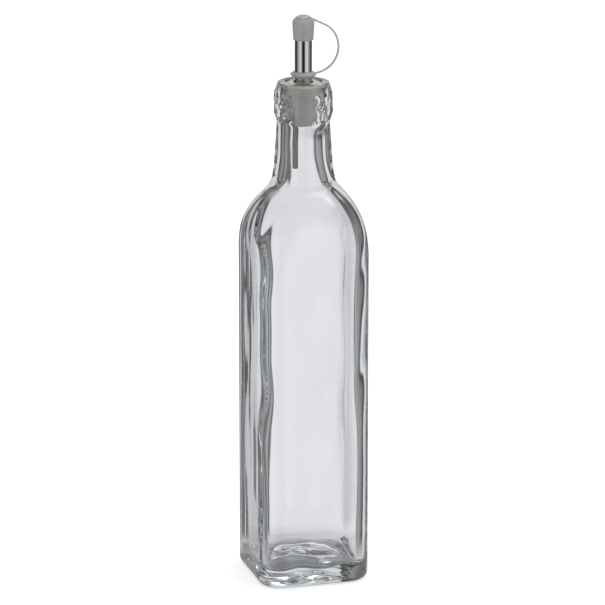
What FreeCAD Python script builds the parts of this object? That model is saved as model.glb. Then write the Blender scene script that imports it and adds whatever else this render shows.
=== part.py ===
"""Square oil and vinegar bottle of clear glass with a pouring stopper, spout, air tube and tethered cap.

Millimetres, +Z up. The origin is the middle of the bottle's foot, the four panels face X and Y, and the
tether lies along +X. The bottle is pressed and blown in one piece: a rounded square body, a shoulder that
turns round as it closes in, a tapering neck and a heavy bead at the mouth. The stopper sits in the mouth
and carries the spout and the air tube, and the cap's own ring holds its tether on the spout.
"""
import FreeCAD, Part
import os
from math import asin, pi

import Sketcher
from FreeCAD import Vector

doc = FreeCAD.newDocument("oil_bottle")

# -------------------------------------------------------------------------------------- driving sizes
# Heights are measured from the foot unless the name says otherwise, and radii from the piece's own axis.
SIZES = {
    # glass, outside
    "glass_height": 266.0,
    "body_side": 60.0,
    "corner_radius": 12.75,
    "heel_radius": 4.0,
    "foot_width": 4.5,
    "punt_height": 3.0,
    "mouth_to_shoulder": 80.5,
    "shoulder_reach": 40.0,
    "shoulder_rise": 34.7,
    "shoulder_lap": 6.5,
    "mouth_to_corner_fade": 90.4,
    "corner_reach": 48.9,
    "corner_rise": 43.0,
    "root_softness": 4.8,
    "mouth_to_neck_foot": 42.0,
    "neck_foot_radius": 15.4,
    "neck_taper": 0.065,
    # glass, bead at the mouth
    "mouth_to_bead_foot": 21.8,
    "bead_radius": 15.55,
    "bead_flare_height": 7.0,
    "bead_waist_height": 6.4,
    "bead_waist_depth": 0.2,
    "lip_radius": 13.6,
    "lip_edge": 0.7,
    "lip_edge_width": 0.55,
    "mouth_edge": 1.1,
    # glass, inside
    "wall": 4.5,
    "inner_corner_radius": 8.5,
    "floor_thickness": 8.5,
    "floor_edge_radius": 4.0,
    "floor_edge_share": 0.95,  # of the inner corner's radius at most
    "floor_crown_margin": 1.0,
    "floor_crown_height": 2.2,
    "bore_radius": 9.25,
    "flat_share": 0.025,  # the smallest flat of a section, as a share of the neck's radius
    # stopper
    "plug_clearance": 0.04,
    "plug_recess": 2.2,
    "plug_head_height": 4.6,
    "plug_head_edge": 0.5,
    "plug_head_lead": 0.9,
    "plug_middle_radius": 6.3,
    "plug_middle_height": 6.4,
    "plug_tail_radius": 5.95,
    "plug_tail_height": 9.0,
    "plug_tail_taper": 0.3,
    "socket_depth": 8.2,
    "channel_radius": 2.7,
    "channel_offset": 1.85,
    "vent_radius": 0.7,
    "vent_offset": 2.6,
    # spout
    "tube_radius": 4.5,
    "tube_wall": 0.5,
    "spout_length": 32.4,
    "collar_radius": 5.4,
    "collar_height": 2.0,
    "collar_stand": 1.3,
    "tail_radius": 3.65,
    "tail_flare_height": 0.9,
    "socket_clearance": 0.04,
    # air tube
    "air_tube_radius": 1.5,
    "air_tube_wall": 0.35,
    "air_tube_drop": 23.3,
    "air_tube_grip": 9.8,
    "air_tube_offset": 4.05,
    # tethered cap
    "cap_depth": 9.5,
    "cap_seat_thickness": 2.0,
    "cap_clearance": 0.04,
    "cap_wall_at_rim": 0.75,
    "cap_wall_at_shoulder": 1.25,
    "cap_shoulder_height": 3.0,
    "cap_shoulder_width": 1.6,
    "plate_height": 1.6,
    "plate_overhang": 0.12,
    "plate_slit_height": 0.25,
    "plate_slit_depth": 0.55,
    "strap_width": 1.3,
    "strap_thickness": 0.9,
    "strap_radius": 13.9,
    "strap_root": 3.6,
    "strap_root_drop": 1.3,
    "strap_top_slope": 26.0,
    "strap_foot_slope": 10.0,
    "strap_foot_rise": 1.4,
    "strap_bite": 0.8,
    "ring_radius": 6.8,
    "ring_height": 3.5,
    "ring_cone_height": 1.6,
    "ring_rim_height": 0.7,
    "ring_end_wall": 0.5,
    "ring_stand": 0.9,
}

# Sizes that follow from the ones above.
DERIVED = {
    "half_side": "body_side / 2",
    "corner_fade": "glass_height - mouth_to_corner_fade",
    "shoulder": "glass_height - mouth_to_shoulder",
    "neck_foot": "glass_height - mouth_to_neck_foot",
    "bead_foot": "glass_height - mouth_to_bead_foot",
    "bead_flare_top": "bead_foot + bead_flare_height",
    "bead_waist_top": "bead_flare_top + bead_waist_height",
    "plug_top": "glass_height - plug_recess",
    "plug_head_foot": "plug_top - plug_head_height",
    "plug_middle_foot": "plug_head_foot - plug_middle_height",
    "plug_foot": "plug_middle_foot - plug_tail_height",
    "plug_radius": "bore_radius - plug_clearance",
    "socket_floor": "plug_top - socket_depth",
    "collar_foot": "plug_top + collar_stand",
    "collar_top": "collar_foot + collar_height",
    "spout_top": "collar_foot + spout_length",
    "air_tube_top": "plug_foot + air_tube_grip",
    "cap_bore": "tube_radius + cap_clearance",
    "cap_rim": "spout_top - cap_depth",
    "cap_top": "spout_top + cap_seat_thickness",
    "cap_shoulder": "cap_top - cap_shoulder_height",
    "cap_shoulder_radius": "cap_bore + cap_wall_at_shoulder",
    "plate_radius": "cap_shoulder_radius - cap_shoulder_width + plate_overhang",
    "plate_top": "cap_top + plate_height",
    "ring_foot": "collar_top + ring_stand",
    "ring_top": "ring_foot + ring_height",
    "strap_bottom_x": "ring_radius - strap_bite",
    "strap_top_z": "plate_top - strap_root_drop",
    "strap_bottom_z": "ring_foot + strap_foot_rise",
    # how far the strap's straight ends stand from its centre, less the radius, and the centre this gives
    "strap_pull_top": "strap_root * sin(strap_top_slope) + strap_top_z * cos(strap_top_slope)"
                      " - strap_radius",
    "strap_pull_foot": "strap_bottom_x * sin(strap_foot_slope) - strap_bottom_z * cos(strap_foot_slope)"
                       " - strap_radius",
    "strap_centre_x": "(strap_pull_top * cos(strap_foot_slope) + strap_pull_foot * cos(strap_top_slope))"
                      " / sin(strap_top_slope + strap_foot_slope)",
    "strap_centre_z": "(strap_pull_top * sin(strap_foot_slope) - strap_pull_foot * sin(strap_top_slope))"
                      " / sin(strap_top_slope + strap_foot_slope)",
}

SHOULDER_STEPS = 12  # sections through the shoulder, evenly spaced
ROUND_STEP = 9       # from this section on, the shoulder is round

sheet = doc.addObject("Spreadsheet::Sheet", "sizes")


def add_cell(alias, content):
    """Writes a value or a formula to the next row of the sheet and names its cell."""
    row = add_cell.rows = getattr(add_cell, "rows", 0) + 1
    sheet.set(f"A{row}", alias.replace("_", " "))
    sheet.set(f"B{row}", content)
    sheet.setAlias(f"B{row}", alias)


for alias, value in SIZES.items():
    add_cell(alias, str(value))
for alias, formula in DERIVED.items():
    add_cell(alias, "=" + formula)


def add_shoulder(side, inset, corner, neck, softness):
    """Formula cells for the shoulder's sections: height, half side and corner radius of each.

    The flats and the corners close in on arcs of their own, and each runs softly into the neck. The smallest
    flat that a section keeps is also where the round ones are split, so that all of them match edge for edge.
    """
    add_cell(f"{side}_half", f"=half_side - {inset}")
    add_cell(f"{side}_diagonal", f"=({side}_half - {corner}) * sqrt(2) + {corner}")
    add_cell(f"{side}_flat", f"={neck} * flat_share")
    for step in range(SHOULDER_STEPS + 1):
        height, line = f"{side}_z_{step}", f"{side}_neck_{step}"
        add_cell(height, f"=corner_fade + (neck_foot - corner_fade) * {step} / {SHOULDER_STEPS}")
        add_cell(line, f"={neck} + (neck_foot - {height}) * neck_taper")
        for form, start in (("shoulder", "shoulder"), ("corner", "corner_fade")):
            full = f"{side}_half" if form == "shoulder" else f"{side}_diagonal"
            climbed = f"min(1; max(0; ({height} - {start}) / ({form}_rise - {inset})))"
            arc, soft = f"{side}_{form}_arc_{step}", f"{side}_{form}_{step}"
            add_cell(arc, f"={full} - ({form}_reach - {inset}) * (1 - sqrt(1 - {climbed} ^ 2))")
            add_cell(soft, f"=({arc} + {line} + sqrt(({arc} - {line}) ^ 2 + {softness} ^ 2)"
                           f" + ({full} - {line}) - sqrt(({full} - {line}) ^ 2 + {softness} ^ 2)) / 2")
        flat, diagonal = f"{side}_shoulder_{step}", f"{side}_corner_{step}"
        bend = f"({flat} * sqrt(2) - {diagonal}) / (sqrt(2) - 1)"
        add_cell(f"{side}_radius_{step}", f"=min({flat} - {side}_flat; max({side}_flat; {bend}))")


add_shoulder("outer", "0", "corner_radius", "neck_foot_radius", "root_softness")
add_shoulder("inner", "wall", "inner_corner_radius", "bore_radius", "(root_softness + wall)")
doc.recompute()

X_AXIS, Y_AXIS = -1, -2
START, END, CENTRE = 1, 2, 3
ORIGIN = (-1, 1)


def number(expression):
    """The value of an expression, as a plain number."""
    value = sheet.evalExpression(expression)
    return float(getattr(value, "Value", value))


def new_body(name):
    body = doc.addObject("PartDesign::Body", name)
    body.Label = name
    return body


def new_sketch(body, name, plane, height=None):
    """A sketch on one of the body's own origin planes, lifted to a height if one is given."""
    sketch = body.newObject("Sketcher::SketchObject", name)
    feature = next(f for f in body.Origin.OriginFeatures if f.Role == plane)
    sketch.AttachmentSupport = [(feature, "")]
    sketch.MapMode = "FlatFace"
    if height:
        sketch.setExpression("AttachmentOffset.Base.z", height)
    return sketch


def dimension(sketch, name, expression, kind, *where):
    """Adds a dimension to the sketch and ties it to its expression."""
    index = sketch.addConstraint(Sketcher.Constraint(kind, *where, number(expression)))
    sketch.renameConstraint(index, name)
    sketch.setExpression(f"Constraints.{name}", expression)


def rounded_square(body, name, height, half, radius):
    """A square section with round corners, known by its half side and its corner radius."""
    sketch = new_sketch(body, name, "XY_Plane", height)
    side, bend = number(half), number(radius)
    flat = side - bend
    for turn in range(4):
        spin = FreeCAD.Rotation(Vector(0, 0, 1), 90 * turn)
        corners = ((-flat, -side), (flat, -side), (flat, -flat))
        start, end, centre = (spin.multVec(Vector(x, y, 0)) for x, y in corners)
        sketch.addGeometry(Part.LineSegment(start, end))
        ring = Part.Circle(centre, Vector(0, 0, 1), bend)
        sketch.addGeometry(Part.ArcOfCircle(ring, pi / 2 * (turn - 1), pi / 2 * turn))
    for piece in range(0, 8, 2):
        line, arc, following = piece, piece + 1, (piece + 2) % 8
        sketch.addConstraint(Sketcher.Constraint("Tangent", line, END, arc, START))
        sketch.addConstraint(Sketcher.Constraint("Tangent", arc, END, following, START))
        sketch.addConstraint(Sketcher.Constraint("Horizontal" if piece in (0, 4) else "Vertical", line))
    sketch.addConstraint(Sketcher.Constraint("Equal", 0, 2))
    sketch.addConstraint(Sketcher.Constraint("Equal", 1, 3))
    sketch.addConstraint(Sketcher.Constraint("Equal", 3, 5))
    sketch.addConstraint(Sketcher.Constraint("Equal", 5, 7))
    sketch.addConstraint(Sketcher.Constraint("Symmetric", 1, CENTRE, 5, CENTRE, *ORIGIN))
    dimension(sketch, "half", half, "DistanceX", *ORIGIN, 2, START)
    dimension(sketch, "corner", radius, "Radius", 1)
    return sketch


def split_circle(body, name, height, radius, flat):
    """A circle in eight arcs, split where a rounded square with a flat of that half length has corners."""
    sketch = new_sketch(body, name, "XY_Plane", height)
    reach = asin(number(flat) / number(radius))
    turns = [pi / 2 * (piece // 2 - 1) + (reach if piece % 2 else -reach) for piece in range(8)]
    for piece in range(8):
        ring = Part.Circle(Vector(0, 0, 0), Vector(0, 0, 1), number(radius))
        sketch.addGeometry(Part.ArcOfCircle(ring, turns[piece], turns[(piece + 1) % 8]))
        sketch.addConstraint(Sketcher.Constraint("Coincident", piece, CENTRE, *ORIGIN))
        if piece:
            sketch.addConstraint(Sketcher.Constraint("Equal", 0, piece))
    dimension(sketch, "radius", radius, "Radius", 0)
    for piece in range(8):
        kind = "DistanceX" if piece // 2 % 2 == 0 else "DistanceY"
        sign = "-" if piece in (0, 2, 5, 7) else ""
        dimension(sketch, f"start_{piece}", sign + flat, kind, *ORIGIN, piece, START)
        dimension(sketch, f"end_{piece}", sign + flat, kind, *ORIGIN, (piece - 1) % 8, END)
    return sketch


def circle(body, name, height, radius, offset=None):
    """A round section about the axis, or moved along X by an offset."""
    sketch = new_sketch(body, name, "XY_Plane", height)
    centre = Vector(number(offset) if offset else 0, 0, 0)
    sketch.addGeometry(Part.Circle(centre, Vector(0, 0, 1), number(radius)))
    if offset:
        sketch.addConstraint(Sketcher.Constraint("PointOnObject", 0, CENTRE, X_AXIS))
        dimension(sketch, "offset", offset, "DistanceX", *ORIGIN, 0, CENTRE)
    else:
        sketch.addConstraint(Sketcher.Constraint("Coincident", 0, CENTRE, *ORIGIN))
    dimension(sketch, "radius", radius, "Radius", 0)
    return sketch


def outline(body, name, corners):
    """A closed outline on the body's XZ plane.

    Each corner is its X and Z expression, and, where an arc leads on from it, the arc's radius expression and
    the side it bulges to: 1 for the right hand of someone who walks the outline, -1 for the left.
    """
    sketch = new_sketch(body, name, "XZ_Plane")
    points = [Vector(number(corner[0]), number(corner[1]), 0) for corner in corners]
    ends = []
    for index, corner in enumerate(corners):
        start, end = points[index], points[(index + 1) % len(corners)]
        if len(corner) == 2:
            sketch.addGeometry(Part.LineSegment(start, end))
        else:
            radius, side = number(corner[2]), corner[3]
            chord = end - start
            rise = radius - (radius ** 2 - (chord.Length / 2) ** 2) ** 0.5
            across = Vector(chord.y, -chord.x, 0).normalize() * side
            sketch.addGeometry(Part.Arc(start, (start + end) / 2 + across * rise, end))
        nearest = min((START, END), key=lambda point: (sketch.getPoint(index, point) - start).Length)
        ends.append((START, END) if nearest == START else (END, START))
    for index, corner in enumerate(corners):
        before = index - 1 if index else len(corners) - 1
        first = (index, ends[index][0])
        sketch.addConstraint(Sketcher.Constraint("Coincident", before, ends[before][1], *first))
        for kind, axis, expression in (("DistanceX", Y_AXIS, corner[0]), ("DistanceY", X_AXIS, corner[1])):
            if expression == "0":
                sketch.addConstraint(Sketcher.Constraint("PointOnObject", *first, axis))
            else:
                dimension(sketch, f"{kind[-1].lower()}_{index}", expression, kind, *ORIGIN, *first)
        if len(corner) > 2:
            dimension(sketch, f"bend_{index}", corner[2], "Radius", index)
    return sketch


def revolve(body, kind, name, corners):
    """A Revolution or a Groove of an outline about the body's Z axis."""
    sketch = outline(body, name + "_outline", corners)
    feature = body.newObject("PartDesign::" + kind, name)
    feature.Profile = sketch
    feature.ReferenceAxis = (sketch, ["V_Axis"])
    feature.Angle = 360
    doc.recompute()
    return feature


def pad(body, name, sketch, length, midplane=False):
    feature = body.newObject("PartDesign::Pad", name)
    feature.Profile = sketch
    feature.SideType = "Symmetric" if midplane else "One side"
    feature.setExpression("Length", length)
    doc.recompute()
    return feature


def pocket(body, name, sketch, length):
    """Cuts a sketch downwards."""
    feature = body.newObject("PartDesign::Pocket", name)
    feature.Profile = sketch
    feature.setExpression("Length", length)
    doc.recompute()
    return feature


# ---------------------------------------------------------------------------------------------- glass
def blown_form(body, side, floor, heel):
    """A rounded square with a soft heel, whose shoulder turns round as it closes into the neck."""
    half, radius = f"sizes.{side}_half", f"sizes.{side}_radius_0"
    plan = rounded_square(body, side + "_plan", floor, half, radius)
    walls = pad(body, side + "_walls", plan, f"sizes.corner_fade - {floor or 0}")
    lowest = number(floor) if floor else 0
    rim = [f"Edge{index}" for index, edge in enumerate(walls.Shape.Edges, start=1)
           if max(vertex.Z for vertex in edge.Vertexes) < lowest + 0.001]
    fillet = body.newObject("PartDesign::Fillet", side + "_heel")
    fillet.Base = (walls, rim)
    fillet.setExpression("Radius", heel)
    doc.recompute()
    sections = [rounded_square(body, f"{side}_start", "sizes.corner_fade - sizes.shoulder_lap", half, radius)]
    for step in range(SHOULDER_STEPS + 1):
        name = f"{side}_section_{step}"
        height, flat = f"sizes.{side}_z_{step}", f"sizes.{side}_shoulder_{step}"
        if step < ROUND_STEP:
            sections.append(rounded_square(body, name, height, flat, f"sizes.{side}_radius_{step}"))
        else:
            sections.append(split_circle(body, name, height, flat, f"sizes.{side}_flat"))
    loft = body.newObject("PartDesign::AdditiveLoft", side + "_shoulder")
    loft.Profile = sections[0]
    loft.Sections = sections[1:]
    doc.recompute()


def arc_through(width, height):
    """The radius of an arc that starts upright and goes in by a width over a height."""
    return f"(({width}) ^ 2 + ({height}) ^ 2) / (2 * ({width}))"


def cap_through(radius, rise):
    """The radius of a shallow dome that rises so far over a radius."""
    return arc_through(rise, radius)


NECK = f"sizes.outer_shoulder_{SHOULDER_STEPS}"
NECK_TOP = f"({NECK} - sizes.neck_taper * (sizes.bead_foot - sizes.neck_foot))"
FLARE = arc_through(f"(sizes.bead_radius - {NECK_TOP}) / 2", "sizes.bead_flare_height / 2")
WAIST = arc_through("sizes.bead_waist_depth", "sizes.bead_waist_height / 2")
LIP_EDGE_FOOT = "sizes.glass_height - sizes.lip_edge"
LIP = arc_through("sizes.bead_radius - sizes.lip_radius", f"{LIP_EDGE_FOOT} - sizes.bead_waist_top")

glass = new_body("glass_form")
blown_form(glass, "outer", None, "sizes.heel_radius")
revolve(glass, "Revolution", "neck_and_bead", [
    ("0", "sizes.neck_foot"),
    (NECK, "sizes.neck_foot"),
    (NECK_TOP, "sizes.bead_foot", FLARE, -1),
    (f"({NECK_TOP} + sizes.bead_radius) / 2", "sizes.bead_foot + sizes.bead_flare_height / 2", FLARE, 1),
    ("sizes.bead_radius", "sizes.bead_flare_top", WAIST, -1),
    ("sizes.bead_radius", "sizes.bead_waist_top", LIP, 1),
    ("sizes.lip_radius", LIP_EDGE_FOOT, "sizes.lip_edge", 1),
    ("sizes.lip_radius - sizes.lip_edge_width", "sizes.glass_height"),
    ("0", "sizes.glass_height"),
])
PUNT = "sizes.half_side - sizes.heel_radius - sizes.foot_width"
revolve(glass, "Groove", "punt", [
    ("0", "0"),
    (PUNT, "0", cap_through(PUNT, "sizes.punt_height"), 1),
    ("0", "sizes.punt_height"),
])

cavity = new_body("cavity_form")
FLOOR_EDGE = "min(sizes.floor_edge_radius; sizes.inner_corner_radius * sizes.floor_edge_share)"
blown_form(cavity, "inner", "sizes.floor_thickness", FLOOR_EDGE)
BORE_FOOT = f"sizes.inner_shoulder_{SHOULDER_STEPS}"
revolve(cavity, "Revolution", "bore", [
    ("0", "sizes.neck_foot"),
    (BORE_FOOT, "sizes.neck_foot"),
    ("sizes.bore_radius", "sizes.bead_foot - sizes.bead_flare_height"),
    ("sizes.bore_radius", "sizes.glass_height - sizes.mouth_edge", "sizes.mouth_edge", -1),
    ("sizes.bore_radius + sizes.mouth_edge", "sizes.glass_height"),
    ("0", "sizes.glass_height"),
])
CROWN = "sizes.inner_half - sizes.floor_edge_radius - sizes.floor_crown_margin"
revolve(cavity, "Groove", "floor_crown", [
    ("0", "sizes.floor_thickness"),
    (CROWN, "sizes.floor_thickness", cap_through(CROWN, "sizes.floor_crown_height"), 1),
    ("0", "sizes.floor_thickness + sizes.floor_crown_height"),
])

bottle = doc.addObject("Part::Cut", "glass_bottle")
bottle.Label = "glass_bottle"
bottle.Base = glass
bottle.Tool = cavity
doc.recompute()

# -------------------------------------------------------------------------------------------- stopper
stopper = new_body("stopper")
PLUG_TAIL_FOOT = "sizes.plug_tail_radius - sizes.plug_tail_taper"
revolve(stopper, "Revolution", "plug", [
    ("0", "sizes.plug_foot"),
    (PLUG_TAIL_FOOT, "sizes.plug_foot"),
    ("sizes.plug_tail_radius", "sizes.plug_middle_foot"),
    ("sizes.plug_middle_radius", "sizes.plug_middle_foot"),
    ("sizes.plug_middle_radius", "sizes.plug_head_foot"),
    ("sizes.plug_radius - sizes.plug_head_lead", "sizes.plug_head_foot"),
    ("sizes.plug_radius", "sizes.plug_head_foot + sizes.plug_head_lead"),
    ("sizes.plug_radius", "sizes.plug_top - sizes.plug_head_edge", "sizes.plug_head_edge", 1),
    ("sizes.plug_radius - sizes.plug_head_edge", "sizes.plug_top"),
    ("0", "sizes.plug_top"),
])
SOCKET = "sizes.tail_radius + sizes.socket_clearance"
pocket(stopper, "spout_socket",
       circle(stopper, "socket_plan", "sizes.plug_top", SOCKET),
       "sizes.socket_depth")
pocket(stopper, "pour_channel",
       circle(stopper, "channel_plan", "sizes.socket_floor", "sizes.channel_radius", "sizes.channel_offset"),
       "sizes.socket_floor - sizes.plug_foot")
pocket(stopper, "air_hole",
       circle(stopper, "air_hole_plan", "sizes.air_tube_top",
              "sizes.air_tube_radius + sizes.socket_clearance", "-sizes.air_tube_offset"),
       "sizes.air_tube_grip")
pocket(stopper, "vent",
       circle(stopper, "vent_plan", "sizes.socket_floor", "sizes.vent_radius", "-sizes.vent_offset"),
       "sizes.socket_floor - sizes.air_tube_top")

# ---------------------------------------------------------------------------------------------- spout
spout = new_body("pour_spout")
TAIL_TOP = "sizes.collar_foot - sizes.tail_flare_height"
COLLAR_BEND = arc_through("sizes.collar_radius - sizes.tube_radius", "sizes.collar_height / 2")
revolve(spout, "Revolution", "rolled_tube", [
    ("sizes.tail_radius - sizes.tube_wall", "sizes.socket_floor"),
    ("sizes.tail_radius", "sizes.socket_floor"),
    ("sizes.tail_radius", TAIL_TOP),
    ("sizes.tube_radius", "sizes.collar_foot", COLLAR_BEND, 1),
    ("sizes.tube_radius", "sizes.collar_top"),
    ("sizes.tube_radius", "sizes.spout_top"),
    ("sizes.tube_radius - sizes.tube_wall", "sizes.spout_top"),
    ("sizes.tube_radius - sizes.tube_wall", "sizes.collar_foot"),
    ("sizes.tail_radius - sizes.tube_wall", TAIL_TOP),
])

# ------------------------------------------------------------------------------------------- air tube
air_tube = new_body("air_tube")
air_tube.setExpression("Placement.Base.x", "-sizes.air_tube_offset")
revolve(air_tube, "Revolution", "drawn_tube", [
    ("sizes.air_tube_radius - sizes.air_tube_wall", "sizes.plug_foot - sizes.air_tube_drop"),
    ("sizes.air_tube_radius", "sizes.plug_foot - sizes.air_tube_drop"),
    ("sizes.air_tube_radius", "sizes.air_tube_top"),
    ("sizes.air_tube_radius - sizes.air_tube_wall", "sizes.air_tube_top"),
])

# --------------------------------------------------------------------------------------- tethered cap
cap = new_body("tether_cap")
SLIT_RADIUS = "sizes.plate_radius - sizes.plate_slit_depth"
SLIT_TOP = "sizes.cap_top + sizes.plate_slit_height"
DOME = "sizes.plate_height - sizes.plate_slit_height"
revolve(cap, "Revolution", "cap_form", [
    ("0", "sizes.spout_top"),
    ("sizes.cap_bore", "sizes.spout_top"),
    ("sizes.cap_bore", "sizes.cap_rim"),
    ("sizes.cap_bore + sizes.cap_wall_at_rim", "sizes.cap_rim"),
    ("sizes.cap_shoulder_radius", "sizes.cap_shoulder",
     arc_through("sizes.cap_shoulder_width", "sizes.cap_shoulder_height"), 1),
    ("sizes.cap_shoulder_radius - sizes.cap_shoulder_width", "sizes.cap_top"),
    (SLIT_RADIUS, "sizes.cap_top"),
    (SLIT_RADIUS, SLIT_TOP),
    ("sizes.plate_radius", SLIT_TOP, cap_through("sizes.plate_radius", DOME), 1),
    ("0", "sizes.plate_top"),
])


def strap_corner(radius, slope, up):
    """Where the strap's arc of one radius meets the straight run of a slope, above or below its centre."""
    sign = "+" if up else "-"
    return (f"sizes.strap_centre_x + ({radius}) * sin({slope})",
            f"sizes.strap_centre_z {sign} ({radius}) * cos({slope})")


def strap_end(radius, slope, up, x):
    """Where the straight run that leaves the arc reaches a given X."""
    corner_x, corner_z = strap_corner(radius, slope, up)
    sign = "+" if up else "-"
    return x, f"{corner_z} {sign} ({corner_x} - ({x})) * tan({slope})"


OUTER, INNER = "sizes.strap_radius", "sizes.strap_radius - sizes.strap_thickness"
TOP, FOOT = "sizes.strap_top_slope * 1deg", "sizes.strap_foot_slope * 1deg"
strap = outline(cap, "strap_outline", [
    strap_end(OUTER, TOP, True, "sizes.strap_root"),
    strap_end(INNER, TOP, True, "sizes.strap_root"),
    (*strap_corner(INNER, TOP, True), INNER, -1),
    strap_corner(INNER, FOOT, False),
    strap_end(INNER, FOOT, False, "sizes.strap_bottom_x"),
    strap_end(OUTER, FOOT, False, "sizes.strap_bottom_x"),
    (*strap_corner(OUTER, FOOT, False), OUTER, 1),
    strap_corner(OUTER, TOP, True),
])
pad(cap, "strap", strap, "sizes.strap_width", midplane=True)
revolve(cap, "Revolution", "ring", [
    ("sizes.cap_bore", "sizes.ring_foot"),
    ("sizes.cap_bore + sizes.ring_end_wall", "sizes.ring_foot"),
    ("sizes.ring_radius", "sizes.ring_foot + sizes.ring_cone_height"),
    ("sizes.ring_radius", "sizes.ring_foot + sizes.ring_cone_height + sizes.ring_rim_height"),
    ("sizes.cap_bore + sizes.ring_end_wall", "sizes.ring_top"),
    ("sizes.cap_bore", "sizes.ring_top"),
])

# ------------------------------------------------------------------------------------- checks, export
doc.recompute()
for item in doc.Objects:
    if "Invalid" in item.State or "Error" in item.State:
        raise RuntimeError(f"{item.Label} did not build: {item.State}")

os.makedirs("parts", exist_ok=True)
for piece in (bottle, stopper, spout, air_tube, cap):
    if piece.Shape.isNull() or not piece.Shape.isValid() or len(piece.Shape.Solids) != 1:
        raise RuntimeError(f"{piece.Label} is not one sound solid")
    piece.Shape.exportStep(f"parts/{piece.Label}.step")
    box = piece.Shape.BoundBox
    print(f"{piece.Label}: {piece.Shape.Volume / 1000:.3f} cm3, {len(piece.Shape.Faces)} faces,"
          f" z {box.ZMin:.2f} to {box.ZMax:.2f}, x {box.XMin:.2f} to {box.XMax:.2f}")
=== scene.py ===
from math import cos, exp, pi, radians, sin, sqrt, tan

import bmesh
import bpy
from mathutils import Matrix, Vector, noise


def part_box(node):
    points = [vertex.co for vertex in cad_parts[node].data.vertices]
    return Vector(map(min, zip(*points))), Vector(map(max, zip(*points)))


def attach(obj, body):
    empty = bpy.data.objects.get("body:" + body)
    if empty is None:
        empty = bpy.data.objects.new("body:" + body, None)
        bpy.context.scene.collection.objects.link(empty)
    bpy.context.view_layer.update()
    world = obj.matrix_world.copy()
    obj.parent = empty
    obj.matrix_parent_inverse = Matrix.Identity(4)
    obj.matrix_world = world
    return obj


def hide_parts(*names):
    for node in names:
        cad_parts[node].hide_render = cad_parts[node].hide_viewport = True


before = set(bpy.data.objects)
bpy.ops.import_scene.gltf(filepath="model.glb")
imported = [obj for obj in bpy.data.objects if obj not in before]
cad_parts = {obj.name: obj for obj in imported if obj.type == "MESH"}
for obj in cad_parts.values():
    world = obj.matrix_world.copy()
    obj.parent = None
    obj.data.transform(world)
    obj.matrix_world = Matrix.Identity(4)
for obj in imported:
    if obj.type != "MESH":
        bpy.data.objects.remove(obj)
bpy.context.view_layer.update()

# ---------------------------------------------------------------------------------- glass bottle
# One piece of clear soda-lime glass, pressed and blown in a square mould, which makes the outside
# true and smooth. The free inside is uneven: waves run down its panels, its corners are thick and
# its floor is heavy. One skin goes from the middle of the foot up the outside and down the inside.
scene = bpy.context.scene
MM = 0.001
glass_low, glass_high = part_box("glass_bottle")
HALF_SIDE = (glass_high[0] - glass_low[0]) / 2
GLASS_HEIGHT = glass_high[2]
CORNER = 12.75 * MM                       # radius of the upright corners
HEEL = 4.0 * MM                           # radius where the walls turn in under the foot
PUNT_RADIUS = HALF_SIDE - HEEL - 4.5 * MM  # the punt is the push-up in the middle of the foot
PUNT_HEIGHT = 3.0 * MM
PUNT_EDGE = 0.4 * MM
PUNT_RIPPLE = 0.25                        # share of its height by which the punt is uneven
FOOT_HOLLOW = 0.12 * MM                   # how far the ring round the punt is sunk
TIP = 0.2 * MM                            # the smallest ring, which is then closed to a point

# The wall climbs on one arc over each panel, from the shoulder's foot, and on a second one over
# each corner, which starts lower and makes the square section fade to a round one.
SHOULDER, SHOULDER_REACH, SHOULDER_RISE = GLASS_HEIGHT - 80.5 * MM, 40.0 * MM, 34.7 * MM
FADE, FADE_REACH, FADE_RISE = GLASS_HEIGHT - 90.4 * MM, 48.9 * MM, 43.0 * MM
ROOT_SOFTNESS = 4.8 * MM                  # how gently the shoulder runs into the neck
NECK_FOOT, NECK_FOOT_RADIUS, NECK_TAPER = GLASS_HEIGHT - 42.0 * MM, 15.4 * MM, 0.065
EASED_REACH, EASED_PASSES = 9 * MM, 30    # how far from the neck's foot the bend is smoothed out
BEAD_FOOT, BEAD_RADIUS = GLASS_HEIGHT - 21.8 * MM, 15.55 * MM
FLARE_HEIGHT = 7.0 * MM                   # the neck flares out to the bead over this height
WAIST_HEIGHT, WAIST_DEPTH = 6.4 * MM, 0.2 * MM
LIP_RADIUS, LIP_EDGE, MOUTH_EDGE = 13.6 * MM, 0.7 * MM, 1.1 * MM
BEAD_SINK = 0.17 * MM                     # how far the tooled bead lies inside its full round

WALL, INNER_CORNER, BORE = 4.5 * MM, 8.5 * MM, 9.25 * MM
FLOOR, FLOOR_EDGE, CROWN_HEIGHT = 8.5 * MM, 4.0 * MM, 2.2 * MM
CROWN_RADIUS = HALF_SIDE - WALL - FLOOR_EDGE - 1.0 * MM
FLOOR_HILLS = 1.7 * MM
LONG_WAVE, SHORT_WAVE = 0.32, 0.12        # heights of the panels' waves, in mm
NECK_GLASS, NECK_LEAN = 0.85, 0.75        # extra glass in the neck, and how uneven it is, in mm
THICK_SIDE = radians(-15.84)              # where round the neck that glass is thickest
BORE_RIPPLE = 0.95                        # in the bead, in mm

# The glass that stays in each upright corner: how far round its ridge leans, its thickness in mm
# and its spread. The order is back right, back left, front left, front right.
CORNER_GLASS = ((0, 0.7, 0.17), (0, 1.0, 0.17), (-0.17, 2.0, 0.12), (0.05, 0.9, 0.16))
CORNER_DRIFT = 0.14                       # how far a ridge wanders round the bottle
THIN_END = 0.18                           # the share of a ridge that is left at its two ends
RIDGE_FOOT, RIDGE_TOP = 96 * MM, 182 * MM

AROUND = 240                              # vertices in one ring
CORNER_CROWDING = 0.45                    # how much they crowd towards the corners


def part_way(start, end, share):
    """The value that lies a share of the way from start to end."""
    return start + (end - start) * share


def steps(start, end, count):
    """Evenly spaced values after start, up to end."""
    return [start + (end - start) * step / count for step in range(1, count + 1)]


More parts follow.
